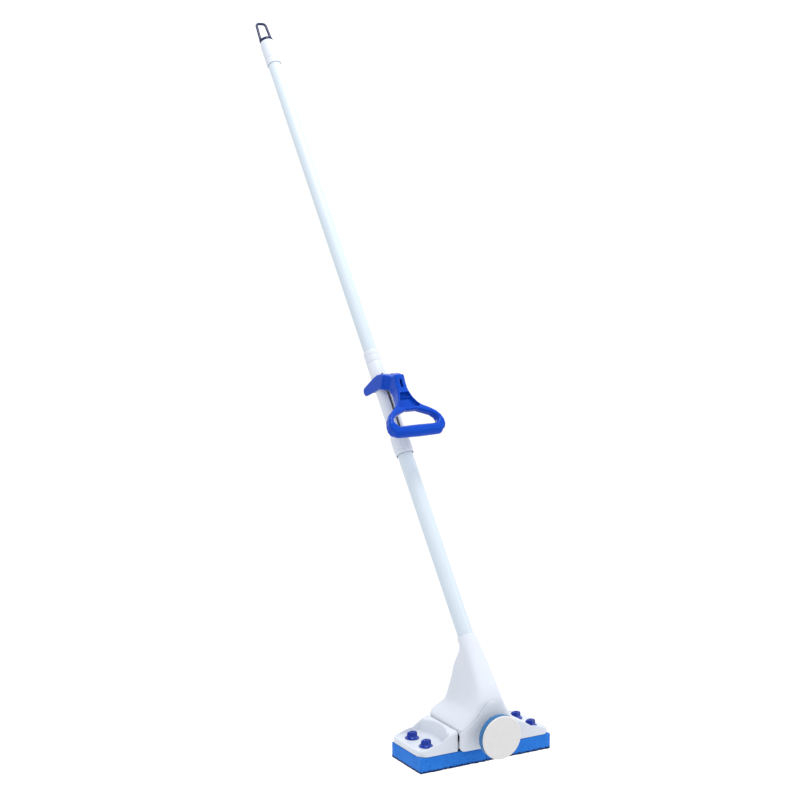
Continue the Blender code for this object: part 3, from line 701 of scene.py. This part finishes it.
def lever_field(x, y, s):
    """Cheeks, neck and D-grip, then the cuts for the sleeve, the rod's lug and both pins."""
    n, h, wide = -y, s - S_PIVOT, np.abs(x)
    side = polygon(n, h, LEVER_SIDE)
    crease = CREASE_N + CREASE_SLOPE * (h - CREASE_H)
    cheek = np.maximum(CHEEK - CHEEK_SLANT * np.maximum(n - crease, 0), np.interp(n, *NECK_SIDE))
    upper = trim(side, wide - cheek, 3.0)
    upper = trim(upper, -36 - h, 3.0)
    lower = trim(side, polygon(x, h, LEVER_FRONT), 5.0)
    lower = trim(lower, -polygon(x, h, GRIP_OPENING), 4.5)
    lower = np.minimum(lower, bar(wide, n, h, (0, 60, -116.4), (36.0, 60, -116.2), 9.8, 9.2))
    body = blend_in(upper, lower, 1.2)
    bed = 52.5 - n + 0.12 * np.maximum(-50 - h, 0)
    channel = trim(wide - np.interp(h, *CHANNEL_WIDTH), bed, 1.8)
    channel = trim(channel, np.abs(h + 60.3) - 14.3, 2.0)
    body = trim(body, -channel, 1.4)
    body = blend_in(body, block(x, n, h, (-10, 50, -54.6), (10, 56.6, -52.8), 0.5), 0.8)
    body = blend_in(body, block(x, n, h, (-8.6, 52, -46.6), (8.6, 60.3, -44.4), 0.8), 0.8)
    body = trim(body, -block(x, n, h, (-2.0, 43, -37), (2.0, 64, -23.5), 0.4), 0.8)
    recess = trim(polygon(n, h, CHEEK_RECESS), cheek - 1.3 - wide, 0.6)
    body = trim(body, -recess, 0.9)
    room = np.minimum(polygon(n, h, pole_room()), np.maximum(n + 5, h - 3.5))
    body = trim(body, -np.maximum(wide - POLE_ROOM, room), 0.8)
    out = np.sqrt(n * n + h * h)
    lug = np.maximum(np.maximum(wide - 2.7, out - 40.3), -n)
    body = np.maximum(body, -lug)
    body = np.maximum(body, -np.maximum(out - PIVOT_BORE, wide - BORE_END))
    crank = np.sqrt((n - CRANK_N) ** 2 + (h - CRANK_H) ** 2)
    return np.maximum(body, -np.maximum(crank - CRANK_BORE, wide - BORE_END))


def make_lever():
    lever = from_field(lever_field, (-55, -74, S_PIVOT - 131), (55, 39, S_PIVOT + 14), 0.9, POLE, 3)
    piece(lever, "lever_moulding", "blue_plastic", "lever", "squeeze_lever", smooth=60)


# ---------------------------------------------------------------- housing and apron


def pole_point(front, s):
    """Head (y, z) of a point at s along the pole and front millimetres before its axis."""
    at = HEAD.inverted() @ (POLE @ Vector((0, -front, s)))
    return at.y, at.z


def section(front, back, wide_front, wide_back, square_front, square_back):
    """A cross-section: its front and back (y, z), half widths and squareness of its corners."""
    return [*front, *back, wide_front, wide_back, square_front, square_back]


def housing_sections():
    collar = [
        section(pole_point(r, s), pole_point(-r, s), r, r, square, square)
        for r, s, square in ((15.2, 213.0, 2.4), (14.4, 228.0, 2.0))
    ]
    rows = [
        section((-50.0, 26.3), (47.5, 26.3), 51.0, 51.0, 9.0, 12.0),
        section((-52.5, 44.0), (47.5, 44.0), 51.0, 51.0, 9.0, 12.0),
        section((-54.0, 57.5), (47.0, 60.0), 51.0, 51.0, 8.5, 12.0),
        section((-55.0, 62.5), (47.0, 64.5), 48.5, 50.0, 7.5, 12.0),
        section((-56.0, 69.0), (46.5, 69.5), 43.5, 45.0, 7.0, 12.0),
        section((-57.0, 77.0), (45.5, 74.0), 38.0, 36.5, 6.5, 11.0),
        section((-57.5, 88.0), (43.5, 80.0), 31.5, 28.0, 6.0, 10.0),
        section((-56.5, 101.0), (41.0, 89.0), 26.0, 24.8, 5.6, 9.0),
        section((-49.5, 116.0), (38.0, 101.5), 22.0, 23.2, 5.2, 7.5),
        section((-36.5, 135.0), (34.5, 118.0), 19.0, 21.2, 5.2, 6.0),
        section((-20.0, 157.0), (30.0, 140.0), 16.8, 18.6, 4.2, 4.6),
    ]
    return np.array(rows + collar)


def housing_rings(rows, offset, count=128):
    """The sections as rounded rings, grown outwards by offset."""
    angle = 2 * np.pi * (np.arange(count) + 0.5) / count
    c, s = np.cos(angle), np.sin(angle)
    rings = []
    for fy, fz, by, bz, wide_front, wide_back, square_front, square_back in rows:
        power = 2 / np.where(c > 0, square_front, square_back)
        u = np.sign(c) * np.abs(c) ** power
        v = np.sign(s) * np.abs(s) ** power
        along = np.array([fy - by, fz - bz])
        reach = np.hypot(*along) / 2
        along = along / (2 * reach)
        width = wide_back + (wide_front - wide_back) * (u + 1) / 2 + offset
        y = (fy + by) / 2 + along[0] * (reach + offset) * u
        z = (fz + bz) / 2 + along[1] * (reach + offset) * u
        rings.append(np.stack([width * v, y, z], 1))
    return rings


WALL = 2.6
HOLLOW_ROWS, APRON_ROWS = 46, 50


def make_housing():
    """The shell, hollowed, with a tunnel for the wings, hinge bosses and the tube's socket."""
    rows = curve_through(housing_sections(), 5)
    shell = loft(housing_rings(rows, 0.0), HEAD)
    hollow_rows = rows[:HOLLOW_ROWS].copy()
    first = hollow_rows[0].copy()
    first[[1, 3]] = 10.0
    hollow = loft(housing_rings(np.vstack([first, hollow_rows]), -WALL), HEAD)
    tunnel = prism(rounded_box(-47.2, 10, 44.7, 54.2, (9, 9, 0.1, 0.1)), -70, 70, HEAD @ ACROSS)
    tools = [("DIFFERENCE", hollow), ("DIFFERENCE", tunnel)]
    for _, side in SIDES:
        for low, high in ((-51.5, -43.5), (43.5, 46.5)):
            boss = prism(circle((side * HINGE_X, HINGE_Z), 6.0, 30), low, high, HEAD @ FRONTWARDS)
            tools.append(("UNION", boss))
    for _, side in SIDES:
        bore = prism(circle((side * HINGE_X, HINGE_Z), 2.8, 24), -47, 45.6, HEAD @ FRONTWARDS)
        tools.append(("DIFFERENCE", bore))
    for radius, low, high in ((12.8, 189.5, 260), (11.5, 140, 191)):
        tools.append(("DIFFERENCE", prism(circle((0, 0), radius, 60), low, high, POLE)))
    screw = POLE @ Matrix.Translation((0, 0, 216)) @ Matrix.Rotation(-math.pi / 2, 4, "X")
    tools.append(("DIFFERENCE", prism(circle((0, 0), 2.3, 24), 10, 30, screw)))
    combined(shell, *tools)
    piece(shell, "housing_moulding", "white_plastic", "root", "head_housing", smooth=42)


def make_apron():
    """The arched panel on the housing's front, a raised skin with a rounded border."""
    rows = curve_through(housing_sections(), 5)[:APRON_ROWS]
    skin = loft(housing_rings(rows, 2.0), HEAD)
    half = arc((42.5, 33.5), 8, -90, 0, 8)
    half += [(50.5, 56), (43, 61.5), (34.5, 68), (26.5, 76), (20, 85.5), (12.5, 95.5), (5, 101.5)]
    outline = half + [(-x, z) for x, z in reversed(half)]
    skirt = prism(softened(outline, 5, 4), -90, -47, HEAD @ FRONTWARDS)
    combined(skin, ("DIFFERENCE", loft(housing_rings(rows, 0.6), HEAD)), ("INTERSECT", skirt))
    edge = skin.modifiers.new("edge", "BEVEL")
    edge.width = 0.5 * MM
    edge.segments = 3
    edge.limit_method = "ANGLE"
    edge.angle_limit = math.radians(50)
    applied(skin)
    piece(skin, "apron_moulding", "white_plastic", "root", "front_apron", smooth=42)


# ---------------------------------------------------------------- scrubber


def soft_disc(place, back, front, rim, rounding, grain, size, crown):
    """A foam disc from back to front, with pits of this depth and size and a slight crown."""

    def field(x, y, z):
        out = np.sqrt(x * x + y * y)
        pits = value_noise(x, y, z, size, 5) + 0.6 * value_noise(x, y, z, size * 0.45, 9)
        dome = crown * (1 - np.minimum(out / rim, 1) ** 2)
        slab = np.maximum(z - back, front - z - dome + crown)
        return trim(out - rim, slab, rounding) + grain * pits

    reach = rim + 2
    return from_field(field, (-reach, -reach, front - 2), (reach, reach, back + 2), 0.8, place, 1)


def make_scrubber():
    low, high = head_box("scrubber_face")
    centre, rim, face = (low.z + high.z) / 2, (high.z - low.z) / 2, low.y
    place = HEAD @ Matrix.Translation((0, 0, centre)) @ FRONTWARDS
    arm = [(0.3, -57.6), (10, -57.6), (9.2, -60), (9, -63), (9, -71), (0.3, -71)]
    arm = turned(arm, place, 0.5, 64)
    piece(arm, "scrubber_stalk", "white_plastic", "root", "scrubber_arm")
    holder = [(0.3, -71.3), (rim - 4, -71.3), (rim - 3, -72.3), (rim - 3, -74), (0.3, -74)]
    holder = turned(holder, place, 0.6)
    piece(holder, "scrubber_dish", "white_plastic", "root", "scrubber_holder")
    foam = soft_disc(place, -74.3, -84.0, rim - 0.1, rounding=1.0, grain=0.35, size=1.6, crown=0.0)
    foam = piece(foam, "scrubber_backing", "foam", "root", "scrubber_foam", smooth=80)
    pad = soft_disc(place, -84.3, face, rim, rounding=2.4, grain=0.10, size=2.2, crown=0.3)
    pad = piece(pad, "scrubber_disc", "white_pad", "root", "scrubber_face", smooth=80)


# ---------------------------------------------------------------- wings

WING_START, WING_END, WING_DEEP = 51.8, 116.5, 44.5
WING_HIGH, WING_LOW = 60.0, 36.0
RIM_BOTTOM, TRAY_BOTTOM, TRAY_FLOOR, POCKET_TOP = 25.8, 27.6, 34.0, 31.5
KNOBS = [Vector(JOINTS[f"right_{end}_knob_turn"]["pos_m"]) for end in ("front", "rear")]
KNOBS = [HEAD.inverted() @ k for k in KNOBS]


def wing_plan():
    """The tray's outline from above."""
    return rounded_box(WING_START, -WING_DEEP, WING_END, WING_DEEP, (8, 0.05, 0.05, 15), 8)


def scoop_plan():
    """The outline of the scoop that the knobs stand in."""
    plan = [*arc((104.5, -30), 10.5, 0, -90, 6), (80, -40.3), (71, -37.5)]
    plan += arc((148, 0), 83, 206, 154, 12)
    return plan + [(71, 38.5), (80, 41), *arc((109, 35), 6, 90, 0, 5)]


def wing_root(x, y, z):
    """What runs under the housing: the deck and the ribs that turn on the hinge pin."""
    shape = block(x, y, z, (21, -39.5, TRAY_BOTTOM), (56, 39.5, TRAY_BOTTOM + 2.5), 0.3)
    crank_low, crank_high = head_box("right_crank_pin")
    crank = ((crank_low.x + crank_high.x) / 2, (crank_low.z + crank_high.z) / 2)
    for middle, cranked in ((-38.0, True), (0.0, True), (38.0, False)):
        top = arc((HINGE_X, HINGE_Z), 5.6, 60, 150 if cranked else 180, 8)
        tail = [(16.4, TRAY_BOTTOM)]
        if cranked:
            tail = arc(crank, 3.4, 120, 270, 8) + [(18, TRAY_BOTTOM)]
        rib = [(56, TRAY_BOTTOM), (56, TRAY_BOTTOM + 12), (36, TRAY_BOTTOM + 12), *top, *tail]
        shape = blend_in(shape, np.maximum(polygon(x, z, rib), np.abs(y - middle) - 1.5), 0.8)
    shape = np.maximum(shape, 2.9 - np.sqrt((x - HINGE_X) ** 2 + (z - HINGE_Z) ** 2))
    return np.maximum(shape, 2.3 - np.sqrt((x - crank[0]) ** 2 + (z - crank[1]) ** 2))


def wing_field(x, y, z):
    """The right tray: a wedge that falls outwards, with its scoop, plate pocket and stud holes."""
    fall = (WING_HIGH - WING_LOW) / (WING_END - 4 - WING_START)
    top = (z - WING_HIGH + fall * (x - WING_START)) * math.cos(math.atan(fall))
    plan = polygon(x, y, wing_plan())
    shape = trim(np.maximum(plan, WING_START - x), top, 5.5)
    shape = np.maximum(shape, WING_START - x)
    shape = trim(shape, RIM_BOTTOM - z, 0.6)
    scoop = polygon(x, y, scoop_plan()) - 0.32 * np.maximum(z - TRAY_FLOOR, 0)
    scoop = trim(scoop, TRAY_FLOOR - z, 5.0)
    shape = trim(shape, -scoop, 1.6)
    pocket = polygon(x, y, rounded_box(59, -41, WING_END - 3, 41, (5, 1, 1, 12)))
    shape = np.maximum(shape, -np.maximum(pocket, z - POCKET_TOP))
    seat = polygon(x, y, rounded_box(WING_START - 5, -41.8, WING_END - 1.2, 41.8, (7, 1, 1, 12)))
    shape = np.maximum(shape, -np.maximum(seat, z - TRAY_BOTTOM))
    shape = blend_in(shape, wing_root(x, y, z), 0.8)
    for knob in KNOBS:
        shape = np.maximum(shape, 3.2 - np.sqrt((x - knob.x) ** 2 + (y - knob.y) ** 2))
    return shape


def knob_field(x, y, z):
    """A wing nut: round flange, domed skirt, fluted hub and two thick lobes."""
    out = np.sqrt(x * x + y * y)
    turn = np.arctan2(y, x)
    flange = trim(out - 10.8, np.abs(z - 0.7) - 0.7, 0.6)
    skirt = trim(out + 1.5 * z - 10.4, -z, 0.5)
    flutes = 0.5 * np.maximum(np.cos(6 * turn), 0)
    hub = trim(trim(out - 6.1 + 0.10 * z + flutes, z - 10.5, 1.4), -z, 0.5)
    lobes = trim(trim(np.abs(x) - 8.8 + 0.08 * z, z - 10.5, 3.2), np.abs(y) - 2.0, 1.1)
    lobes = trim(lobes, 0.8 - z, 0.5)
    knob = blend_in(blend_in(blend_in(flange, skirt, 0.8), hub, 1.2), lobes, 1.4)
    dimple = np.sqrt(x * x + y * y + (z - 13.0) ** 2) - 3.4
    knob = trim(knob, -dimple, 0.6)
    return np.maximum(knob, -np.maximum(out - 2.9, z - 9.8))


def sponge_block(name, side):
    """Half of the sponge: pitted faces and a ragged lower edge."""
    low, high = head_box(f"{name}_sponge")
    x0, x1 = sorted((abs(low.x), abs(high.x)))

    def field(x, y, z):
        shape = block(x, y, z, (x0, low.y, low.z), (x1, high.y, high.z), 1.2)
        pits = value_noise(x, y, z, 2.4, 3 + side) ** 3
        fine = value_noise(x, y, z, 1.3, 8 + side)
        near_edge = np.clip(1 - z / 2.6, 0, 1)
        ragged = value_noise(x, y, z, 3.1, 21 + side) ** 2
        return shape + 0.9 * pits + 0.25 * fine + 1.3 * near_edge * ragged

    matrix = HEAD @ (MIRROR if side < 0 else Matrix.Identity(4))
    start, end = (x0 - 1, low.y - 1, low.z - 1), (x1 + 1, high.y + 1, high.z + 1)
    return from_field(field, start, end, 1.15, matrix, 1)


def make_wings():
    wing = from_field(wing_field, (3, -46, 24.3), (118, 46, 62), 0.9, Matrix.Identity(4), 3)
    for name, side in SIDES:
        made = wing if side > 0 else raw([v.co for v in wing.data.vertices], faces_of(wing), MIRROR)
        made.data.transform(HEAD)
        body, node = f"{name}_wing", f"{name}_sponge"
        piece(made, f"{name}_wing_moulding", "white_plastic", body, f"{name}_tray", smooth=50)
        sponge = sponge_block(name, side)
        sponge = piece(sponge, f"{name}_sponge_half", "sponge", body, node, smooth=80)
        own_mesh(sponge)
    knob = from_field(knob_field, (-12, -12, -1), (12, 12, 12), 0.45, Matrix.Identity(4), 3)
    points, faces = [v.co.copy() for v in knob.data.vertices], faces_of(knob)
    bpy.data.objects.remove(knob)
    for name, _ in SIDES:
        for end in ("front", "rear"):
            at = Vector(JOINTS[f"{name}_{end}_knob_turn"]["pos_m"])
            made = raw(points, faces, Matrix.Translation(at) @ Matrix.Scale(MM, 4))
            node = f"{name}_{end}_knob"
            piece(made, f"{node}_moulding", "navy_plastic", node, node, smooth=50)


# ---------------------------------------------------------------- stage


FLOOR_REACH = 120.0
FOLD_ROOM = 0.8  # the floor lies this far down, clear of the wings when they fold below the head
SKY_STRENGTH = 1.2
LIGHTS = (
    ("key", (2.3, -2.0, 2.2), 14, 0.9),
    ("top", (0.3, -0.3, 3.0), 34, 1.0),
)


def make_stage():
    """A wide pale floor, an even white sky and two soft area lights (name, place, power, size)."""
    r, low = FLOOR_REACH, -FOLD_ROOM
    floor = raw([(-r, -r, low), (r, -r, low), (r, r, low), (-r, r, low)], [(0, 1, 2, 3)])
    floor.name = "floor"
    t = Nodes("pale_floor")
    t.colour(t.ramp(t.noise(0.6, 2), [(0.3, (0.86, 0.86, 0.86)), (0.7, (0.88, 0.88, 0.88))]))
    t.set(Roughness=0.9, Specular_IOR_Level=0.1)
    floor.data.materials.append(t.material)
    world = bpy.data.worlds.new("studio")
    bpy.context.scene.world = world
    world.use_nodes = True
    sky = world.node_tree.nodes["Background"]
    sky.inputs["Color"].default_value = (1, 1, 1, 1)
    sky.inputs["Strength"].default_value = SKY_STRENGTH
    for name, place, power, size in LIGHTS:
        light = bpy.data.lights.new(name, "AREA")
        light.energy = power
        light.size = size
        lamp = bpy.data.objects.new(name, light)
        lamp.location = place
        aim = Vector((0, 0, 0.3)) - lamp.location
        lamp.rotation_euler = aim.to_track_quat("-Z", "Y").to_euler()
        bpy.context.scene.collection.objects.link(lamp)


AZIMUTH, ELEVATION, DISTANCE = math.radians(-29.5), math.radians(9.6), 2.8542
LENS, SENSOR = 85.5, 36


def make_camera():
    """The viewing angle: from the left front, a little above the lever."""
    camera = bpy.data.cameras.new("camera")
    camera.sensor_width = SENSOR
    camera.lens = LENS
    stand = bpy.data.objects.new("camera", camera)
    bpy.context.scene.collection.objects.link(stand)
    target = Vector((-0.0915, HINGE.y + 0.0627, 0.5517))
    level = math.cos(ELEVATION)
    back = Vector((math.sin(AZIMUTH) * level, -math.cos(AZIMUTH) * level, math.sin(ELEVATION)))
    stand.location = target + back * DISTANCE
    stand.rotation_mode = "QUATERNION"
    stand.rotation_quaternion = (-back).to_track_quat("-Z", "Y")
    bpy.context.scene.camera = stand
    bpy.context.scene.view_settings.view_transform = "Standard"


def finish_frame_nodes():
    """Every node that stays in view as it was packed gets its slot's detailed material."""
    for entry in frame["record"]["subparts"]:
        node = frame["nodes"][entry["node"]]
        node.data.materials.clear()
        node.data.materials.append(MATERIALS[entry["material_slot"]])


finish_frame_nodes()
make_camera()
make_stage()
make_pole()
make_lever()
make_housing()
make_apron()
make_scrubber()
make_wings()
